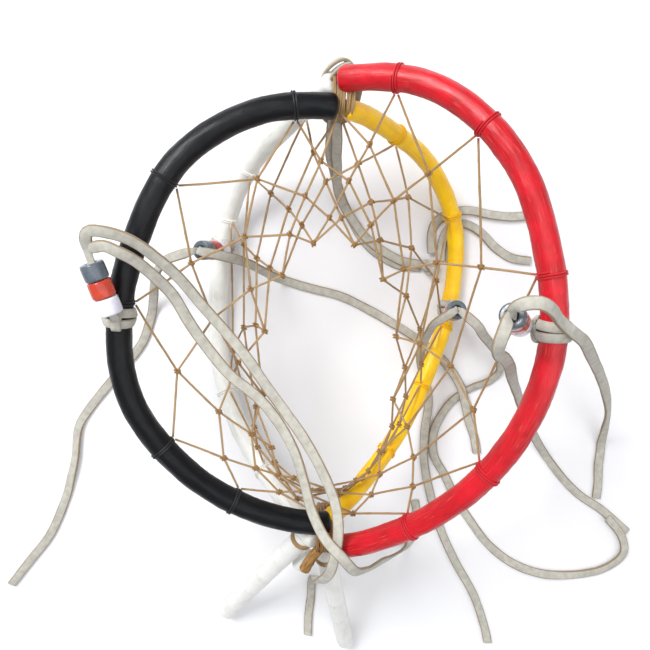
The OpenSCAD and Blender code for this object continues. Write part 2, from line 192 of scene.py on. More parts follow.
# %% Writing shaders as sums
class Wire:
    """An output socket whose sums become Math nodes."""

    def __init__(self, finish, socket):
        self.finish, self.socket = finish, socket

    def math(self, operation, *values):
        return self.finish.node("ShaderNodeMath", {"operation": operation}, dict(enumerate(values)))

    def __add__(self, other): return self.math("ADD", self, other)
    def __radd__(self, other): return self.math("ADD", other, self)
    def __sub__(self, other): return self.math("SUBTRACT", self, other)
    def __rsub__(self, other): return self.math("SUBTRACT", other, self)
    def __mul__(self, other): return self.math("MULTIPLY", self, other)
    def __rmul__(self, other): return self.math("MULTIPLY", other, self)
    def __abs__(self): return self.math("ABSOLUTE", self)

    def between(self, low, high, to_low=0.0, to_high=1.0):
        """0 to 1 as this value goes from low to high, or the two values given."""
        return self.finish.node("ShaderNodeMapRange", {}, {0: self, 1: low, 2: high, 3: to_low, 4: to_high})


class Finish:
    """A material that is built node by node."""

    def __init__(self, name, **constants):
        self.material = bpy.data.materials.new(name)
        self.material.use_nodes = True
        self.tree = self.material.node_tree
        self.surface = self.tree.nodes["Principled BSDF"]
        for socket, value in constants.items():
            self.surface.inputs[socket.replace("_", " ")].default_value = value

    def node(self, kind, settings, values, output=0):
        made = self.tree.nodes.new(kind)
        for key, value in settings.items():
            if key == "stops":
                ramp = made.color_ramp
                while len(ramp.elements) < len(value):
                    ramp.elements.new(0.5)
                for stop, (place, colour) in zip(ramp.elements, value):
                    stop.position, stop.color = place, colour
            else:
                setattr(made, key, value)
        for key, value in values.items():
            if isinstance(value, Wire):
                self.tree.links.new(value.socket, made.inputs[key])
            else:
                made.inputs[key].default_value = value
        return Wire(self, made.outputs[output])

    def attribute(self, name, output=1):
        return self.node("ShaderNodeAttribute", {"attribute_name": name}, {}, output)

    def stretched(self, wire, x, y, z):
        return self.node("ShaderNodeVectorMath", {"operation": "MULTIPLY"}, {0: wire, 1: (x, y, z)})

    def noise(self, wire, scale, detail=3.0, roughness=0.55):
        return self.node("ShaderNodeTexNoise", {}, {"Vector": wire, "Scale": scale, "Detail": detail,
                                                    "Roughness": roughness})

    def mix(self, factor, a, b):
        return self.node("ShaderNodeMix", {"data_type": "RGBA"}, {0: factor, 6: a, 7: b}, 2)

    def set(self, socket, wire):
        self.tree.links.new(wire.socket, self.surface.inputs[socket])

    def bump(self, height, depth, strength=1.0):
        self.set("Normal", self.node("ShaderNodeBump", {}, {"Height": height, "Distance": depth * MM,
                                                            "Strength": strength}))

# %% [markdown]
# ### Paint on peeled willow
# The sticks are hand-painted. The brush leaves streaks along the stick, thin spots where the ground shows and
# a satin gloss that changes from place to place. On the black stick the thin spots, specks and faint blue tint are
# a painted bluish sheen. Under the paint the grain still lifts it a little. All of it is noise, stretched along the
# pulled-straight length.

# %% Painted sticks
def stick_paint(name, base, thin_paint_and_sheen, dark, rough=(0.24, 0.42), wear_and_sheen_from=0.62, coat=0.2, gloss=0.4):
    paint = Finish(name, Specular_IOR_Level=gloss, Coat_Roughness=0.18, IOR=1.48)
    lie = paint.attribute("lie")
    streaks = paint.noise(paint.stretched(lie, 1.6, 1.6, 0.09), 0.9, 5)
    patches = paint.noise(lie, 0.11, 3)
    grain = paint.noise(paint.stretched(lie, 2.2, 2.2, 0.22), 1.1, 4, 0.65)
    specks = paint.noise(lie, 1.9, 2)
    # Thin-paint mask: on the red, yellow and white sticks it shows the ground, on the black stick it lays a painted
    # bluish sheen.
    wear_and_sheen = (streaks * 0.6 + patches * 0.4).between(wear_and_sheen_from - 0.07, wear_and_sheen_from + 0.07)
    colour = paint.mix(patches.between(0.35, 0.7), base, dark)
    colour = paint.mix(wear_and_sheen, colour, thin_paint_and_sheen)
    colour = paint.mix(specks.between(0.70, 0.76, 0, 0.5), colour, thin_paint_and_sheen)
    paint.set("Base Color", colour)
    paint.set("Roughness", (streaks + patches * 0.5).between(0.5, 1.0, *rough))
    paint.set("Coat Weight", patches.between(0.3, 0.7, coat, 0.05))
    paint.bump(streaks * 0.5 + grain * 0.5 + patches * 0.6, 0.5, 0.55)
    return paint.material


PAINTS = {
    # The black paint's blue-grey thin spots and specks, and its faint blue tint, are a painted bluish sheen.
    "black": stick_paint("black stick paint", (0.003, 0.004, 0.006, 1), (0.012, 0.016, 0.026, 1), (0.0015, 0.0015, 0.002, 1),
                         (0.26, 0.44), 0.66, coat=0.10, gloss=0.2),
    "red": stick_paint("red stick paint", (0.58, 0.004, 0.014, 1), (0.70, 0.05, 0.05, 1), (0.36, 0.002, 0.006, 1)),
    "yellow": stick_paint("yellow stick paint", (0.96, 0.60, 0.0, 1), (1.0, 0.74, 0.04, 1), (0.82, 0.42, 0.0, 1)),
    "white": stick_paint("white stick paint", (0.78, 0.78, 0.75, 1), (0.58, 0.55, 0.48, 1), (0.70, 0.70, 0.66, 1)),
}
TONES = {"black": (0.006, 0.006, 0.008), "red": (0.50, 0.006, 0.014), "yellow": (0.82, 0.46, 0.0),
         "white": (0.80, 0.79, 0.75)}
print("paints", list(PAINTS))

# %% [markdown]
# ### Sinew
# Waxed sinew is a twist of fine fibres: pale tan where it is drawn thin, darker and shinier where it is knotted.
# Near a stick it has taken some of the stick's paint, which the tint value carries.

# %% Sinew
def sinew(name, pale, deep, gloss):
    thread = Finish(name, Specular_IOR_Level=0.45, Subsurface_Weight=0.0)
    lie = thread.attribute("lie")
    fibres = thread.noise(thread.stretched(lie, 3.0, 3.0, 0.5), 1.6, 4, 0.6)
    drift = thread.noise(lie, 0.12, 2)
    colour = thread.mix((fibres * 0.6 + drift * 0.5).between(0.35, 0.75), pale, deep)
    tint = thread.attribute("tint", 0)
    colour = thread.mix(thread.attribute("tint", 3), colour, tint)
    thread.set("Base Color", colour)
    thread.set("Roughness", fibres.between(0.3, 0.7, gloss, gloss + 0.2))
    thread.bump(fibres, 0.16, 0.7)
    return thread.material


SINEW = sinew("net sinew", (0.42, 0.28, 0.13, 1), (0.20, 0.11, 0.045, 1), 0.42)
DARK_SINEW = sinew("knotted sinew", (0.36, 0.19, 0.055, 1), (0.17, 0.08, 0.02, 1), 0.36)

# %% [markdown]
# ### Buckskin
# The laces are cut from split hide: a soft, napped, off-white face and tan cut edges. The place across the
# lace decides which of the two shows, and a little noise keeps the line between them ragged.

# %% Buckskin
def buckskin(name, face, shade, edge):
    hide = Finish(name, Specular_IOR_Level=0.2, Sheen_Weight=0.15, Sheen_Roughness=0.5)
    lie = hide.attribute("lie")
    nap = hide.noise(lie, 3.4, 5, 0.7)
    mottle = hide.noise(lie, 0.35, 3)
    across = hide.node("ShaderNodeSeparateXYZ", {}, {0: lie})
    colour = hide.mix((nap * 0.35 + mottle * 0.65).between(0.36, 0.68), face, shade)
    cut = (abs(across) + nap * 0.5).between(2.05, 2.45)
    colour = hide.mix(cut * 0.9, colour, edge)
    stain = hide.attribute("tint", 0)
    colour = hide.mix(hide.attribute("tint", 3), colour, stain)
    hide.set("Base Color", colour)
    hide.set("Roughness", nap.between(0.3, 0.7, 0.72, 0.95))
    hide.bump(nap * 0.7 + mottle * 0.6, 0.35, 0.8)
    return hide.material


BUCKSKIN = buckskin("buckskin lace", (0.52, 0.505, 0.45, 1), (0.36, 0.34, 0.29, 1), (0.26, 0.18, 0.095, 1))

# %% [markdown]
# ### Glossy beads and bare wood
# Crow beads are pressed from one opaque colour with a hard gloss, a few swirls and small pits.

# %% Beads and bare wood
def bead_gloss(name, base, swirl):
    gloss = Finish(name, Specular_IOR_Level=0.5, Coat_Roughness=0.12, Coat_Weight=0.2, IOR=1.5)
    place = gloss.node("ShaderNodeTexCoord", {}, {}, 3)
    cloud = gloss.noise(place, 160, 3)
    pits = gloss.noise(place, 900, 2)
    gloss.set("Base Color", gloss.mix(cloud.between(0.4, 0.65), base, swirl))
    gloss.set("Roughness", pits.between(0.4, 0.75, 0.2, 0.36))
    gloss.bump(pits * 0.4 + cloud * 0.8, 0.10, 0.35)
    return gloss.material


BEADS = {
    "white": bead_gloss("white bead", (0.72, 0.72, 0.80, 1), (0.62, 0.62, 0.72, 1)),
    "red": bead_gloss("red-orange bead", (0.55, 0.055, 0.02, 1), (0.42, 0.03, 0.015, 1)),
    "grey": bead_gloss("blue-grey bead", (0.105, 0.13, 0.155, 1), (0.07, 0.09, 0.11, 1)),
}


def bare_wood(name):
    wood = Finish(name, Specular_IOR_Level=0.3)
    lie = wood.attribute("lie")
    grain = wood.noise(wood.stretched(lie, 2.6, 2.6, 0.15), 1.3, 5, 0.6)
    wood.set("Base Color", wood.node("ShaderNodeValToRGB", {"stops": [
        (0.35, (0.10, 0.04, 0.008, 1)), (0.52, (0.30, 0.15, 0.04, 1)), (0.68, (0.52, 0.32, 0.14, 1))]}, {0: grain}))
    wood.set("Roughness", grain.between(0.3, 0.7, 0.55, 0.8))
    wood.bump(grain, 0.4, 0.9)
    return wood.material


WOOD = bare_wood("bare willow")

# %% [markdown]
# ## Where each stick runs
# Each half stick is bent in one plane through the poles. Nine radii from the top pole to the bottom pole give
# its gentle, uneven curve. The same numbers set where the net and the laces are tied on.

# %% The sticks' curves
OUTER_TOP, OUTER_BOTTOM = 98.8, 104.8
STICKS = {
    "black": dict(d=10.6, turn=172, wrap=0, ends=(89.3, -92), hitches=(78, 39, 4, -39, -64),
                  radii=(88, 90.5, 90.5, 87, 88, 91, 91, 92, 94)),
    "red": dict(d=10.4, turn=25, wrap=4, ends=(90.2, -86.9), hitches=(76, 53, 17, -37, -64),
                radii=(OUTER_TOP, 102, 99, 93, 91, 89.5, 90.5, 95.5, OUTER_BOTTOM)),
    "yellow": dict(d=8.6, turn=-46.5, wrap=-2, ends=(88, -88.5), hitches=(65, 28, -8, -31, -58),
                   radii=(88, 89, 95.5, 98.5, 91, 83, 82, 85, 94)),
    "white": dict(d=10.0, turn=-132.08, wrap=16, ends=(88, -88), hitches=(75, 45, 26, -33, -62),
                  radii=(OUTER_TOP, 90.5, 91.5, 91.5, 90, 95, 96.5, 96, OUTER_BOTTOM)),
}


def stick_radius(radii, a):
    at = min(max((90 - a) / 22.5, 0), 7.999)
    i, t = int(at), at % 1
    p0, p1, p2, p3 = radii[max(i - 1, 0)], radii[i], radii[i + 1], radii[min(i + 2, 8)]
    return p1 + t * ((p2 - p0) + t * ((2 * p0 - 5 * p1 + 4 * p2 - p3) + t * (3 * p1 - p0 - 3 * p2 + p3))) / 2


def stick_point(name, a):
    stick = STICKS[name]
    r, turn, tilt = stick_radius(stick["radii"], a), radians(stick["turn"]), radians(a)
    return CENTRE + Vector((r * cos(tilt) * cos(turn), r * sin(tilt), r * cos(tilt) * sin(turn)))


def stick_way(name, a):
    return (stick_point(name, a - 0.5) - stick_point(name, a + 0.5)).normalized()


def plane_normal(name):
    turn = radians(STICKS[name]["turn"])
    return Vector((-sin(turn), 0, cos(turn)))

# %% [markdown]
# ## The laces
# A lace is a flat strip that turns over as it falls. Its route is followed point by point, then a slow roll is
# added, and where it rests on the floor it is lifted just enough for its lower edge to lie on it. The laces come
# first, and each lace's length is printed.

# %% Where the beads stand
BEAD_L, BEAD_GAP, BEAD_D, BORE = 7.0, 0.2, 9.5, 4.4
CORE_RISE, CORE_END = 2.4, 25.4
STACKS = {
    "black": ((-86.3, 2.9, 23.2), (-6.3, 18.9, 3)),
    "red": ((70.8, 7.3, 35.1), (-9.3, 7, 20)),
    "yellow": ((62.3, -3.6, -56), (-1.4, 4.8, 20)),
    "white": ((-56.2, 23.9, -55.2), (-7, 1, 19)),
}

# %% Lace routes
FLOOR_SPOT = Vector((CENTRE.x, CENTRE.y, 0))
LACE_W, LACE_T = 4.8, 1.6
LACES = {
    "black_lace_tail_a": (
        (-97, 29, 99), (-97, 32, 102), (-92, 35, 104), (-84, 35, 104), (-76, 32, 101), (-68, 25, 95),
        (-61, 17, 89), (-54, 7, 84), (-45, -4, 81), (-36, -15, 80), (-27, -28, 79), (-18, -40, 79),
        (-9, -52, 80), (-1, -65, 82), (5, -78, 84), (7, -90, 86), (6, -102, 86), (4, -113, 82),
        (1, -122, 73), (-1, -131, 60), (-2, -140, 44), (-3, -149, 28), (-4, -158, 13), (-5, -168, 3),
        (-5, -178, 1), (-6, -190, 1), (-6, -203, 1)),
    "black_lace_tail_b": (
        (-92, 29, 99), (-90, 29, 101), (-87, 30, 103), (-81, 28, 103), (-75, 24, 99), (-69, 17, 93),
        (-64, 10, 88), (-58, -2, 84), (-51, -13, 81), (-42, -24, 80), (-31, -33, 79), (-22, -43, 79),
        (-14, -56, 80), (-9, -69, 82), (-5, -82, 84), (1, -93, 87), (9, -101, 89), (15, -110, 84),
        (20, -117, 72), (25, -124, 57), (31, -131, 40), (38, -138, 23), (45, -142, 9), (50, -141, 2),
        (53, -134, 1), (54, -125, 1), (52, -115, 1)),
    "red_lace_tail_a": (
        (64, 16, 131), (65, 19, 133), (60.5, 17, 133), (63, 19.5, 137), (68, 20, 138), (73.5, 17, 134),
        (79, 12.5, 125.5), (87, 7, 119), (95, 2, 109),
        (105, -7, 93), (118, -19, 72), (132, -33, 48), (144, -49, 27), (151, -65, 10), (154, -78, 1),
        (154, -89, 1), (155, -100, 1), (155, -109, 1)),
    "red_lace_tail_b": (
        (60, 14, 131), (59, 12, 133), (58.6, 13.5, 134), (56.5, 9, 137), (56, 4, 135), (58.5, 0, 128),
        (64, -4, 115.5), (71, -11, 98), (78, -21, 80),
        (86, -32, 62), (95, -45, 44), (105, -59, 26), (114, -72, 12), (124, -85, 2), (135, -98, 1),
        (146, -108, 1), (159, -116, 1), (175, -129, 1)),
    "yellow_lace_tail_a": (
        (63, 2, 42), (66, 0, 43), (70, -5, 42), (74, -10, 38), (80, -16, 30), (86, -22, 20), (91, -29, 10),
        (93, -37, 3), (88, -43, 1), (79, -47, 1), (70, -54, 1), (64, -63, 1), (60, -74, 1), (61, -87, 1),
        (68, -99, 1), (75, -112, 1), (84, -125, 1), (96, -140, 1), (111, -151, 1), (129, -157, 1),
        (148, -157, 1), (165, -152, 1), (174, -142, 2), (171, -130, 3), (162, -120, 3)),
    "yellow_lace_tail_b": (
        (58, 2, 42), (55, 0, 42), (51, -5, 38), (49, -11, 31), (48, -18, 22), (48, -26, 13), (50, -35, 5),
        (54, -46, 1), (56, -58, 1), (55, -74, 1), (56, -92, 1), (61, -112, 1), (68, -132, 1), (78, -152, 1),
        (90, -172, 1), (98, -192, 1), (101, -203, 1)),
    "white_lace_tail_a": (
        (-63, 25, 42), (-58, 25, 44), (-52, 23, 42), (-46, 21, 35), (-41, 18, 25), (-36, 14, 15), (-30, 10, 6),
        (-22, 7, 1), (-10, 4, 1), (4, 1, 1), (18, -5, 1), (32, -12, 1), (49, -22, 1), (63, -33, 2),
        (72, -45, 3), (76, -56, 3), (79, -66, 1), (83, -76, 1), (85, -85, 1)),
    "white_lace_tail_b": (
        (-66.5, 25, 42), (-71, 24, 44), (-77, 21, 42), (-83, 17, 35), (-88, 12, 25), (-92, 5, 15), (-95, -4, 6),
        (-98, -16, 1), (-103, -30, 1), (-113, -43, 1), (-124, -57, 1), (-133, -69, 1), (-139, -80, 1),
        (-141, -97, 1), (-144, -110, 1), (-148, -124, 1), (-157, -145, 1), (-170, -163, 1), (-181, -178, 1)),
    "hanger_tail_a": (
        (52, 26, 3), (51, 34, 2), (53, 42, 1), (60, 47, 1), (70, 49, 1), (84, 47, 1), (97, 47, 1), (114, 51, 1)),
    "hanger_tail_b": (
        (57, 22, 3), (57, 30, 2), (60, 39, 1), (68, 42, 1), (77, 38, 1), (86, 30, 1), (95, 25, 1), (105, 24, 1)),
}
HANGER_ROUTE = ((-2, 89, 60), (-2, 84.5, 60.5), (-2, 80, 58.5), (-2, 76, 52), (-2, 71, 42), (-1, 66, 31), (0, 60, 20), (2, 54, 10), (5, 48, 3),
                (10, 40, 2), (16, 32, 2), (25, 25, 2), (36, 20, 2), (47, 19, 2))
FLAT_UP = Vector((0.02, 0.01, 1))


def lace_roll(number, most=26):
    """A slow turn of a lace about its own length, in radians, different for each lace."""
    def roll(s):
        return radians(most) * (0.65 * sin(s / 24 + number * 1.9) + 0.35 * sin(s / 11 + number * 0.7)) * min(
            1, s / 12)
    return roll


def settle(route, roll, width, height):
    """The same route, lifted wherever the rolled strip would reach under the floor."""
    points = []
    for s in spread(route.length, 3):
        point, turn = route.at(s), roll(s)
        half = (width * abs(sin(turn)) + height * abs(cos(turn))) / 2 + 0.05
        points.append(Vector((point.x, point.y, max(point.z, half))))
    return Route(points, fine=4)


def out_of_beads(name, points):
    """A tail's first points: it leaves the top bead's hole beside the other tail, in line with the beads."""
    foot, way = STACKS[name.split("_")[0]]
    foot, way = CENTRE + Vector(foot), Vector(way).normalized()
    hole = foot + (CORE_END - 4.2) * way
    aside = points[2] - hole
    aside = (aside - aside.dot(way) * way).normalized() * 0.7
    return [hole + aside, hole + 2.4 * way + aside, hole + 4.8 * way + 1.3 * aside] + points[2:]


def lace(name, number, nodes, width=LACE_W, height=LACE_T, most=26):
    points = [FLOOR_SPOT + Vector(p) for p in LACES[name]]
    from_beads = not name.startswith("hanger")
    route = Route(out_of_beads(name, points) if from_beads else points)
    roll = lace_roll(number, most)
    route = settle(route, roll, width, height)
    bm = blank()
    stations = [(s, size * min(1, 0.6 + max(0, s - 4) * 0.08) if from_beads else size)
                for s, size in blunt(route.length, 1.5, 0.3, 1.2)]
    sweep(bm, route, stations, FLAT_UP, width, height, 12, 0.5, roll, lumps=0.25)
    called = name.replace("lace_tail", "buckskin_tail").replace("hanger_tail", "hanging_buckskin_tail")
    piece = finish(bm, called, BUCKSKIN, nodes, sharp=60)
    path = [route.at(s) * MM for s in spread(route.length, 4)]
    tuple(path[0])
    print(name, "length", round(route.length), "mm")
    return piece


for number, name in enumerate(n for n in LACES if not n.startswith("hanger")):
    lace(name, number, (name,))

# %% [markdown]
# ### The hanging lace
# One lace goes over the top pole, and its two halves run side by side to an overhand knot with two tails. The
# knot is one strip carried along a pretzel-shaped line and drawn tight.

# %% Hanging lace, its knot and tails
KNOT_AT = FLOOR_SPOT + Vector((51, 19, 5))
hanger = Route([FLOOR_SPOT + Vector(p) for p in HANGER_ROUTE])
bm = blank()
for side in (-1, 1):
    sweep(bm, hanger, blunt(hanger.length, 1.5, 0.3, 1.2), FLAT_UP, LACE_W, LACE_T, 12, 0.5,
          lace_roll(3 + side, 8),
          shift=lambda s, side=side: (side * (0.5 + 0.9 * sin(s / 14)), side * 0.85), lumps=0.25)
hanger_run = finish(bm, "hanging_lace_run", BUCKSKIN, ("hanger_lace",), sharp=60)

loops = [Vector(((sin(t) + 2 * sin(2 * t)), (cos(t) - 2 * cos(2 * t)), -1.1 * sin(3 * t)))
         for t in (2 * pi * k / 40 for k in range(40))]
bm = blank()
knot_route = Route([KNOT_AT + Vector((1.25 * p.x, 1.0 * p.y, 0.4 + 1.25 * p.z)) for p in loops], closed=True,
                   fine=3)
sweep(bm, knot_route, spread(knot_route.length, 0.8)[:-1], FLAT_UP, 3.4, 1.9, 10, 0.6, lumps=0.3)
hanger_knot = finish(bm, "hanging_lace_knot", BUCKSKIN, ("hanger_knot",), sharp=60)
hanger.at(0) * MM
[hanger.at(s) * MM for s in spread(hanger.length, 4)]
for number, name in ((11, "hanger_tail_a"), (12, "hanger_tail_b")):
    lace(name, number, (name,))
print("hanging lace", round(hanger.length), "mm to its knot")

# %% [markdown]
# ## The half sticks
# Peeled willow is never a true tube: it swells and thins a little, and its cut ends are rounded by the paint.
# Each stick is one sweep with a little noise in its outline and a rounded edge at both ends.

# %% Sticks
def carry_stick(name):
    stick = STICKS[name]
    top, bottom = stick["ends"]
    route = Route([stick_point(name, top - (top - bottom) * i / 60) for i in range(61)], fine=3)
    bm = blank()
    sweep(bm, route, blunt(route.length, 1.6, 2.2, stick["d"] / 2, 5), plane_normal(name), stick["d"], None, 28,
          lumps=0.55)
    print(name, "stick", round(route.length), "mm long")
    return finish(bm, name + "_bent_stick", PAINTS[name], (name + "_half_hoop",), sharp=70)


for name in STICKS:
    carry_stick(name)

# %% [markdown]
# ## Hitches
# Where the net meets a stick, its string goes three times round and crosses itself. The turns carry the
# stick's paint. Each hitch is one helix of a little over two turns, swept with the net's own string.

# %% Helix turns round a stick
STRING = 1.0


def turns_round(bm, name, a, count, pitch, lift=0.0, tint=None, slant=0.0, string=STRING):
    """A helix of string round a stick at an angle on its curve."""
    middle, way = stick_point(name, a), stick_way(name, a)
    out = plane_normal(name)
    side = way.cross(out)
    reach = STICKS[name]["d"] / 2 + string / 2 - 0.05 + lift
    steps = round(count * 18)
    points = []
    for k in range(steps + 1):
        t = 2 * pi * count * k / steps
        along = (k / steps - 0.5) * count * pitch + slant * sin(t)
        sink = 0.35 if k in (0, steps) else 0
        points.append(middle + along * way + (reach - sink) * (cos(t) * out + sin(t) * side))
    route = Route(points, fine=2)
    sweep(bm, route, spread(route.length, 1.5), way, string, string * 0.86, 7, tint=tint, lumps=0.2)


for name, stick in STICKS.items():
    bm = blank()
    for a in stick["hitches"]:
        turns_round(bm, name, a, 2.2, 1.0, tint=lambda s, name=name: (*TONES[name], 1.0), lift=-0.2)
    finish(bm, name + "_hitch_turns", SINEW, (name + "_hitches",))

# %% [markdown]
# ## The net
# The net has 12 columns. Its knots lie in rows from the front sticks, through a narrow waist, to the back
# sticks, and odd rows lie half a column on, which makes the open diamonds. The weaving drifts round by one
# column in all. The first millimetres at each stick are coloured by its paint.

# %% Places of the knots
COLUMNS, ROWS = 12, 8
WAIST = CENTRE + Vector((0, -22, -7))
TOP_MID, BOTTOM_MID, LASHING_FACE, POLE_GAP = 93.35, 99.35, 13.35, 1.7


def on_right(c):
    return c <= 6


def step_of(c):
    return c if on_right(c) else 12 - c


def rim_stick(c, front):
    return ("red" if front else "yellow") if on_right(c) else ("black" if front else "white")


def rim_angle(c, front):
    at, i = (90, *STICKS[rim_stick(c, front)]["hitches"], -90), step_of(c)
    return at[int(i)] + (i % 1) * (at[min(int(i) + 1, 6)] - at[int(i)])


def rim(c, front):
    i = step_of(c)
    if i in (0, 6):
        y = TOP_MID - LASHING_FACE - POLE_GAP if i == 0 else LASHING_FACE + POLE_GAP - BOTTOM_MID
        return CENTRE + Vector((0, y, 3 if front else -9))
    return stick_point(rim_stick(c, front), rim_angle(c, front))


def waist(c):
    a = radians(90 - step_of(c) * 30)
    wide = abs(cos(a)) ** (0.9 if a > 0 else 0.55)
    return WAIST + Vector((30 * wide * (1 if on_right(c) else -1), 56 * sin(a), 0))


def knot(row, c):
    c, front = (c + row % 2 / 2 + row / ROWS) % COLUMNS, row <= ROWS / 2
    s = (row if front else ROWS - row) / (ROWS / 2)
    s = s * (1.25 - 0.25 * s)
    r, w = rim(c, front), waist(c)
    clear = STICKS[rim_stick(c, front)]["d"] / 2 + 2.2
    return (r + (w - r).normalized() * clear) * (1 - s) + w * s


def hitch(c, front, step):
    """Where a string leaves a stick, a little to its own side of the hitch."""
    i, p, to = step_of(c), rim(c, front), waist(c)
    if i in (0, 6):
        up = 1 if i == 0 else -1
        return p + Vector((0.7 * (1 - 2 * step) * up, 7.0 * up, -4 if front else 0))
    name = rim_stick(c, front)
    way = stick_way(name, rim_angle(c, front))
    on = way * (1 if way.y < 0 else -1) * (1 if on_right(c) else -1)
    side = to - p
    side = (side - side.dot(way) * way).normalized()
    return p + 0.7 * (1 - 2 * step) * on + side * (STICKS[name]["d"] / 2 + 0.8)


def string_end(row, c, step):
    if row == 0:
        return hitch(c, True, step)
    if row == ROWS:
        return hitch((c + 1) % COLUMNS, False, step)
    return knot(row, c)

# %% Strings
spans = []
bm = blank()
for row in range(ROWS):
    for c in range(COLUMNS):
        for step in (0, 1):
            c2 = (c - step if row % 2 == 0 else c + step) % COLUMNS
            a, b = string_end(row, c, step), string_end(row + 1, c2, step)
            spans.append((a - b).length)
            bow = 0.012 * spans[-1] * noise.noise_vector(Vector((row, c, step * 0.5 + 0.3)))
            route = Route([a, a.lerp(b, 0.33) + bow, a.lerp(b, 0.67) + bow, b], fine=6)
            paint, end = (0, 0, 0), 1e6
            if row == 0 and step_of(c) not in (0, 6):
                paint, end = TONES[rim_stick(c, True)], 0
            elif row == ROWS - 1 and step_of((c2 + 1) % COLUMNS) not in (0, 6):
                paint, end = TONES[rim_stick((c2 + 1) % COLUMNS, False)], route.length
            sweep(bm, route, spread(route.length, 2.6), Vector((0.3, 0.2, 1)), STRING * 1.02, STRING * 0.8, 7,
                  lumps=0.45,
                  tint=lambda s, paint=paint, end=end: (*paint, max(0.0, min(0.6, 1.3 - abs(s - end) / 1.5))))
finish(bm, "net_strings", SINEW, ("web_strands",))
print(len(spans), "strings,", round(sum(spans)), "mm of sinew")

# %% [markdown]
# ### The net's knots
# Each crossing is a half hitch: the string passes once and a half round the string that it hangs from. A
# short helix on the line between the two strings reads as that turn, and the wax darkens where it is pulled
# tight.

# %% Knots
bm = blank()
for row in range(1, ROWS):
    for c in range(COLUMNS):
        here = knot(row, c)
        way = (knot(row, (c + 1) % COLUMNS) - knot(row, (c - 1) % COLUMNS)).normalized()
        out = way.cross(Vector((0.2, 0.1, 1))).normalized()
        side = way.cross(out)
        tilt = 0.5 * noise.noise(here * 0.7)
        points = []
        for k in range(17):
            t = 2 * pi * 1.7 * k / 16
            points.append(here + (k / 16 - 0.5 + tilt * 0.2) * 1.9 * way
                          + (1.0 + 0.12 * sin(3 * t)) * (cos(t) * out + sin(t) * side))
        route = Route(points, fine=2)
        sweep(bm, route, spread(route.length, 0.75), way, 1.15, 1.0, 6)
finish(bm, "net_knots", DARK_SINEW, ("web_knots",))

# %% [markdown]
# ## Lashings
# The stick ends are bound with many turns of sinew. A winding is one long sweep round a box with rounded
# corners: a first layer side by side, then a looser layer across it, so the binding looks tied, not turned.

# %% Windings
def winding(bm, middle, x_way, y_way, high, wide, length, count, corner=0.55, string=1.1, wobble=0.3, seed=0,
            slant=0.0):
    """A coil round a rounded box whose sides run along x_way and y_way."""
    along = x_way.cross(y_way).normalized()
    steps = count * 36
    points = []
    for k in range(steps + 1):
        t = 2 * pi * k / 36
        x = high / 2 * abs(cos(t)) ** corner * (1 if cos(t) > 0 else -1)
        y = wide / 2 * abs(sin(t)) ** corner * (1 if sin(t) > 0 else -1)
        f = (k / steps - 0.5) * length + slant * sin(t) + wobble * noise.noise(Vector((t * 0.4, seed, 0.5)))
        push = 1 + 0.012 * noise.noise(Vector((t * 0.9, seed, 9.5)))
        points.append(middle + along * f + push * (x * x_way + y * y_way))
    route = Route(points, fine=2)
    sweep(bm, route, spread(route.length, 1.8), along, string, string * 0.82, 7, lumps=0.3)


X, Y, Z = Vector((1, 0, 0)), Vector((0, 1, 0)), Vector((0, 0, 1))
for middle, high, wide, piece, node, paint in (
        ((0.6, TOP_MID - 0.2, -8.6), 18.4, 19, "top_pole_windings", "top_lashing", SINEW),
        ((1.2, -BOTTOM_MID - 0.9, -8), 19, 20, "bottom_pole_windings", "bottom_lashing", DARK_SINEW)):
    middle = CENTRE + Vector(middle)
    bm = blank()
    winding(bm, middle, Y, Z, high, wide, 8.6, 9, corner=0.7, wobble=0.7, seed=1, slant=0.5)
    winding(bm, middle, Y, Z, high + 0.9, wide + 0.9, 6.0, 5, corner=0.75, wobble=1.8, seed=5, slant=2.4)
    finish(bm, piece, paint, (node,))

# %% [markdown]
# ### Lace wraps
# Each lace is tied to its stick with a lark's head: two turns side by side, a bridge across them, and both ends
# drawn out under the bridge and through the beads.

# %% Lark's heads
for name, (foot, bead_way) in STACKS.items():
    foot, bead_way = CENTRE + Vector(foot), Vector(bead_way).normalized()
    a = STICKS[name]["wrap"]
    middle, way = stick_point(name, a), stick_way(name, a)
    joint = foot - CORE_RISE * bead_way
    off = joint - middle
    off = (off - off.dot(way) * way).normalized()
    side = way.cross(off)
    reach = STICKS[name]["d"] / 2 + LACE_T / 2 - 0.1
    bm = blank()
    for place in (-1, 1):
        points = [middle + (place * (2.0 + 0.25 * cos(t))) * way
                  + reach * (1 + 0.03 * sin(2 * t + place)) * (cos(t) * off + sin(t) * side)
                  for t in (2 * pi * k / 24 for k in range(24))]
        route = Route(points, closed=True, fine=3)
        sweep(bm, route, spread(route.length, 1.2)[:-1],
              lambda s, route=route, middle=middle: route.at(s) - middle, 3.9, LACE_T, 12, 0.5, lumps=0.2)
    high = reach + LACE_T * 0.9
    bridge = Route([middle + place * way + lift * off for place, lift in
                    ((-4.4, reach - 0.6), (-4.2, reach + 0.7), (-2.6, high), (0, high + 0.2), (2.6, high),
                     (4.2, reach + 0.7), (4.4, reach - 0.6))])
    sweep(bm, bridge, blunt(bridge.length, 0.8, 0.3, 1.2), off, 4.0, LACE_T, 12, 0.5, lumps=0.2)
    across = bead_way.cross(way).normalized()
    for place in (-1, 1):
        leg = Route([middle + reach * off + place * 1.6 * side, joint - 1.6 * off + place * 1.0 * across,
                     foot + place * 0.86 * across, foot + 8 * bead_way + place * 0.82 * across,
                     foot + (CORE_END - 4.0) * bead_way + place * 0.86 * across])
        sweep(bm, leg, blunt(leg.length, 1.2, 0.3, 1.2), across, 3.3, 1.4, 12, 0.5, lumps=0.15)
    finish(bm, name + "_larks_head", BUCKSKIN, (name + "_lace_wrap",), sharp=60)

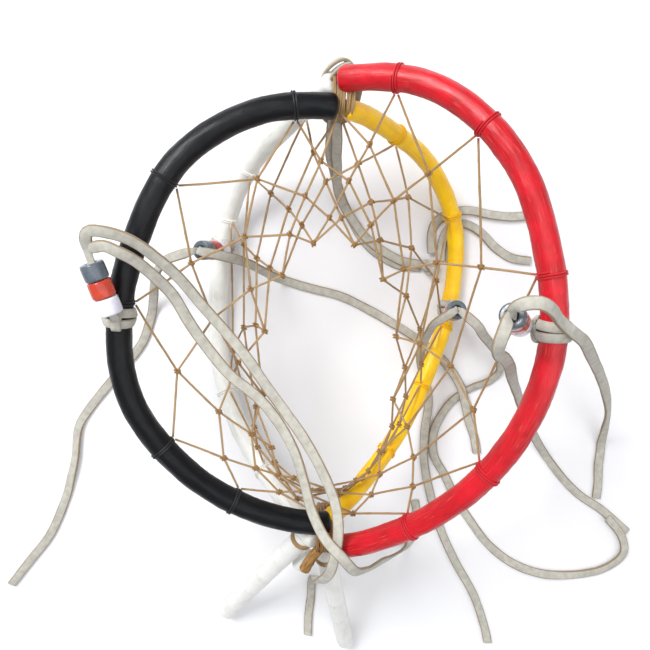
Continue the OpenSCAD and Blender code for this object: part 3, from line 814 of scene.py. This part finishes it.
# %% [markdown]
# ### Beads
# A bead is lathed: one outline, its corners rounded by bevel, is spun about the hole. The outside is a little
# fuller than a cylinder, as pressed beads are. Each bead rides on its own body, because it slides and turns.

# %% Beads
def bead(name, colour, place):
    foot, way = STACKS[name]
    foot, way = CENTRE + Vector(foot), Vector(way).normalized()
    bm = blank()
    inner, outer = BORE / 2 + 0.02, BEAD_D / 2
    corners = [bm.verts.new((x, 0, z)) for x, z in
               ((inner, 0.05), (outer - 0.12, 0), (outer, BEAD_L * 0.3), (outer, BEAD_L * 0.7),
                (outer - 0.12, BEAD_L), (inner, BEAD_L - 0.05))]
    for i, vert in enumerate(corners):
        bm.edges.new((vert, corners[(i + 1) % 6]))
    for group, width in (((corners[0], corners[5]), 0.6), ((corners[1], corners[4]), 0.75)):
        bmesh.ops.bevel(bm, geom=list(group), offset=width, segments=5, profile=0.5, affect="VERTICES",
                        material=-1)
    bmesh.ops.spin(bm, geom=bm.verts[:] + bm.edges[:], axis=(0, 0, 1), cent=(0, 0, 0), steps=48, angle=2 * pi,
                   use_merge=True)
    bmesh.ops.remove_doubles(bm, verts=bm.verts, dist=0.001)
    stand = way.to_track_quat("Z", "Y").to_matrix().to_4x4()
    stand.translation = foot + place * (BEAD_L + BEAD_GAP) * way
    bmesh.ops.transform(bm, matrix=stand, verts=bm.verts)
    node = name + "_stack_" + colour + "_bead"
    return finish(bm, name + "_" + colour + "_crow_bead", BEADS[colour], (node,), body=node, sharp=180)


for name in STACKS:
    for place, colour in enumerate(("white", "red", "grey")):
        bead(name, colour, place)

# %% [markdown]
# ### The lace over the top pole
# Two turns of lace sit beside the windings and a third crosses in front of them, so that the object hangs from
# a soft loop.

# %% Hanging loop
LOOP = ((-8.4, 90, -9), (-8.2, 98, -5), (-4.5, 104.0, -2.5), (1.5, 107, -3), (6, 102, -8), (4.5, 92, -18),
        (0, 86, -20), (-6, 85, -14))
bm = blank()
for grow, drop, seed in ((1.0, (0, 0, 0), 1), (0.94, (0.9, -0.6, -3.2), 2), (0.9, (1.8, -0.6, 1.2), 3)):
    heart = CENTRE + Vector((1, TOP_MID, -7)) + Vector(drop)
    points = [heart + grow * (CENTRE + Vector(p) - CENTRE - Vector((1, TOP_MID, -7)))
              + 0.5 * noise.noise_vector(Vector((i, seed, 0.5))) for i, p in enumerate(LOOP)]
    route = Route(points, closed=True)
    sweep(bm, route, spread(route.length, 1.5)[:-1], lambda s, route=route, heart=heart: route.at(s) - heart,
          LACE_W - 0.4, LACE_T, 12, 0.5, lumps=0.25)
finish(bm, "hanging_lace_loop", BUCKSKIN, ("hanger_wrap",), sharp=60)

# %% [markdown]
# ## Rods and offcuts under the bottom pole
# Two white rods with rounded tips are tied on under the pole, with a short white stub and a bare sliver.

# %% Rods
def rod(name, top, tip, d, node, paint, edge, grain=0.35):
    route = Route([top, top.lerp(tip, 0.3), top.lerp(tip, 0.65), tip])
    bm = blank()
    stations = blunt(route.length, 1.6, edge, d / 2, 7)
    sweep(bm, route, [(s, max(size, 0.12)) for s, size in stations], Vector((0.05, 0.1, 1)), d - 0.1, None, 28,
          lumps=grain)
    return finish(bm, name, paint, (node,), sharp=75)


def rod_ends(top, tip, longer):
    """A rod's two ends: the top drawn further up under the pole, the tip rounded past its resting point."""
    top, tip = CENTRE + Vector(top), Vector((CENTRE.x + tip[0], CENTRE.y + tip[1], 5))
    down = (tip - top).normalized()
    return top - longer * down, tip + 4.8 * down


LEFT_TOP, LEFT_TIP = rod_ends((-10, -108.8, -11.5), (-53, -186), 7)
RIGHT_TOP, RIGHT_TIP = rod_ends((2, -116, -13.5), (16, -202), 2)
rod("left_white_rod", LEFT_TOP, LEFT_TIP, 10, "white_rod_left", PAINTS["white"], 4.6)
rod("right_white_rod", RIGHT_TOP, RIGHT_TIP, 10, "white_rod_right", PAINTS["white"], 4.6)
rod("white_stub", CENTRE + Vector((-5, -122.4, -21.4)), CENTRE + Vector((-12, -131.4, -26.4)), 7,
    "white_rod_short", PAINTS["white"], 1.0)
rod("bare_sliver", CENTRE + Vector((-1.4, -108.4, -2.4)), CENTRE + Vector((-8.2, -120.6, -4.1)), 5.0,
    "raw_stick_end", WOOD, 1.0, 1.2)

# %% Windings on the rods
bm = blank()
for top, tip, low in ((LEFT_TOP, LEFT_TIP, 4.5), (RIGHT_TOP, RIGHT_TIP, 4.5)):
    down = (tip - top).normalized()
    side = down.cross(Z).normalized()
    winding(bm, top + low * down, side, side.cross(down), 10.7, 10.7, 3.0, 3, corner=1.0, wobble=0.1,
            seed=low)
for place in (-1.1, 0, 1.1):
    left = LEFT_TOP + (4.5 + place) * (LEFT_TIP - LEFT_TOP).normalized() - 5.4 * Z
    right = RIGHT_TOP + (4.5 + place) * (RIGHT_TIP - RIGHT_TOP).normalized() - 5.4 * Z
    strand = Route([left, left.lerp(right, 0.5) + 0.6 * place * Y, right])
    sweep(bm, strand, spread(strand.length, 1.8), Z, 1.1, 0.9, 7, lumps=0.3)
finish(bm, "rod_windings", SINEW, ("rod_lashing",))

# %% [markdown]
# ## Floor and light
# A plain pale floor and large soft lights from above keep the shadows light, with one brighter window of light
# to draw a highlight along the painted sticks.

# %% Studio
floor_mesh = bmesh.new()
bmesh.ops.create_grid(floor_mesh, x_segments=1, y_segments=1, size=3)
floor_data = bpy.data.meshes.new("studio_floor")
floor_mesh.to_mesh(floor_data)
floor_mesh.free()
floor = bpy.data.objects.new("studio_floor", floor_data)
bpy.context.collection.objects.link(floor)
floor_paper = Finish("pale paper", Specular_IOR_Level=0.1, Roughness=0.95)
floor_paper.surface.inputs["Base Color"].default_value = (0.80, 0.80, 0.82, 1)
floor_data.materials.append(floor_paper.material)


def soft_light(name, place, aim, size, power, colour=(1, 1, 1)):
    lamp = bpy.data.objects.new(name, bpy.data.lights.new(name, "AREA"))
    lamp.data.size, lamp.data.energy, lamp.data.color = size, power, colour
    place = Vector(place)
    lamp.matrix_world = Matrix.Translation(place) @ (Vector(aim) - place).to_track_quat("-Z", "Y").to_matrix(
    ).to_4x4()
    bpy.context.collection.objects.link(lamp)


soft_light("window", (-0.55, 0.75, 0.95), (0, 0, 0.03), 0.5, 17)
soft_light("fill", (0.8, -0.2, 0.9), (0, 0, 0.03), 0.9, 3.5)
soft_light("overhead", (0, 0.1, 1.3), (0, 0, 0), 1.0, 4.5)
world = bpy.data.worlds.new("soft room")
world.use_nodes = True
world.node_tree.nodes["Background"].inputs["Color"].default_value = (0.95, 0.97, 1, 1)
world.node_tree.nodes["Background"].inputs["Strength"].default_value = 0.5
bpy.context.scene.world = world
bpy.context.scene.view_settings.view_transform = "Standard"
